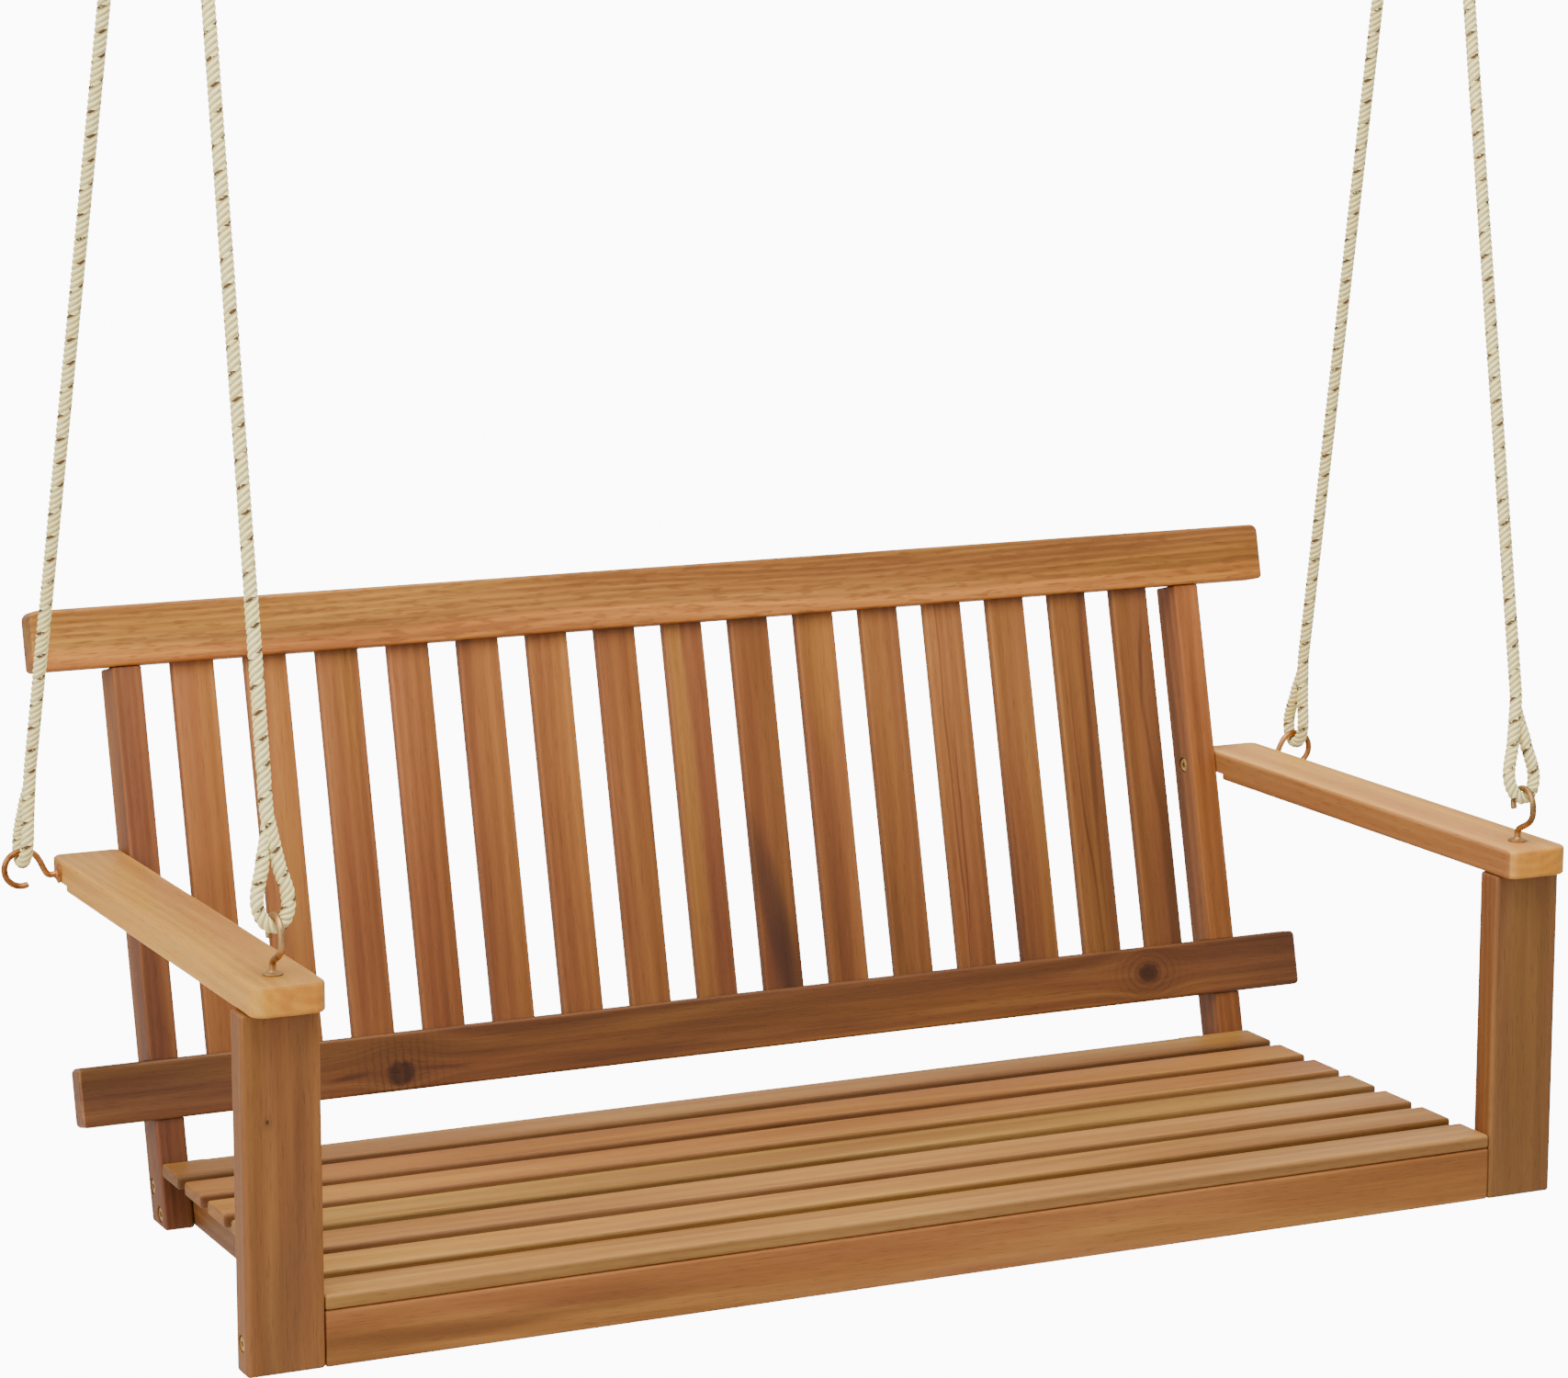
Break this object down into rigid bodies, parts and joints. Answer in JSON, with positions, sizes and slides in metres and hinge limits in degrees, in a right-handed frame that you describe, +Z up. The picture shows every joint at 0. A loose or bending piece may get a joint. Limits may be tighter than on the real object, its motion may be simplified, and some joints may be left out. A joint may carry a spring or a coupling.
{
  "type": "porch swing",
  "caption": "Slatted wooden porch swing bench with flat armrests and a leaning back, hung on spliced ropes from screw hooks.",
  "frame": {"origin": "on the plane of the ceiling beam, centred between the four ceiling hooks", "axes": "+X to the sitter's left along the bench, +Y towards the backrest, +Z up"},
  "size_m": [1.4228, 0.6245, 1.352],
  "materials": {
    "arm_wood": "oiled",
    "post_wood": "oiled",
    "rail_wood": "oiled",
    "slat_wood": "oiled",
    "seat_wood": "oiled",
    "hidden_wood": "oiled",
    "bolt_brass": "satin",
    "hook_metal": "yellow zinc plated",
    "rope_fibre": "twisted"
  },
  "bodies": {
    "ceiling_hooks": {"ceiling_hook_front_left": "hook_metal", "ceiling_hook_front_right": "hook_metal", "ceiling_hook_rear_left": "hook_metal", "ceiling_hook_rear_right": "hook_metal"},
    "front_ropes": {"rope_front_left": "rope_fibre", "rope_front_right": "rope_fibre"},
    "rear_ropes": {"rope_rear_left": "rope_fibre", "rope_rear_right": "rope_fibre"},
    "bench": {"front_rail": "post_wood", "rear_rail": "hidden_wood", "seat_joist_left": "hidden_wood", "seat_joist_right": "hidden_wood", "seat_joist_centre": "hidden_wood", "seat_slat_1": "seat_wood", "seat_slat_2": "seat_wood", "seat_slat_3": "seat_wood", "seat_slat_4": "seat_wood", "seat_slat_5": "seat_wood", "seat_slat_6": "seat_wood", "seat_slat_7": "seat_wood", "back_slat_01": "slat_wood", "back_slat_02": "slat_wood", "back_slat_03": "slat_wood", "back_slat_04": "slat_wood", "back_slat_05": "slat_wood", "back_slat_06": "slat_wood", "back_slat_07": "slat_wood", "back_slat_08": "slat_wood", "back_slat_09": "slat_wood", "back_slat_10": "slat_wood", "back_slat_11": "slat_wood", "back_slat_12": "slat_wood", "back_slat_13": "slat_wood", "back_slat_14": "slat_wood", "back_slat_15": "slat_wood", "back_rail_top": "rail_wood", "back_rail_lower": "rail_wood", "front_post_left": "post_wood", "back_post_left": "slat_wood", "armrest_left": "arm_wood", "front_post_bolt_left": "bolt_brass", "back_post_bolt_upper_left": "bolt_brass", "back_post_bolt_lower_left": "bolt_brass", "armrest_bolt_left": "bolt_brass", "front_post_nut_left": "bolt_brass", "armrest_nut_left": "bolt_brass", "front_hook_left": "hook_metal", "rear_hook_left": "hook_metal", "front_post_right": "post_wood", "back_post_right": "slat_wood", "armrest_right": "arm_wood", "front_post_bolt_right": "bolt_brass", "back_post_bolt_upper_right": "bolt_brass", "back_post_bolt_lower_right": "bolt_brass", "armrest_bolt_right": "bolt_brass", "front_post_nut_right": "bolt_brass", "armrest_nut_right": "bolt_brass", "front_hook_right": "hook_metal", "rear_hook_right": "hook_metal"}
  },
  "joints": [
    {"name": "swing", "type": "hinge", "parent": "ceiling_hooks", "child": "front_ropes", "pos_m": [0, -0.0737, -0.0523], "axis": [1, 0, 0], "range_deg": [-16, 16], "deforming": ["rope_front_left", "rope_front_right"]},
    {"name": "bench_tilt", "type": "hinge", "parent": "front_ropes", "child": "bench", "pos_m": [0, -0.2223, -0.9414], "axis": [1, 0, 0], "range_deg": [-6, 6]},
    {"name": "rear_rope_swing", "type": "hinge", "parent": "ceiling_hooks", "child": "rear_ropes", "pos_m": [0, 0.0737, -0.0523], "axis": [1, 0, 0], "range_deg": [-17, 17], "deforming": ["rope_rear_left", "rope_rear_right"]}
  ],
  "couplings": [
    {"joint": "bench_tilt", "follows": "swing", "ratio": -0.2847},
    {"joint": "rear_rope_swing", "follows": "swing", "ratio": 0.9923}
  ]
}
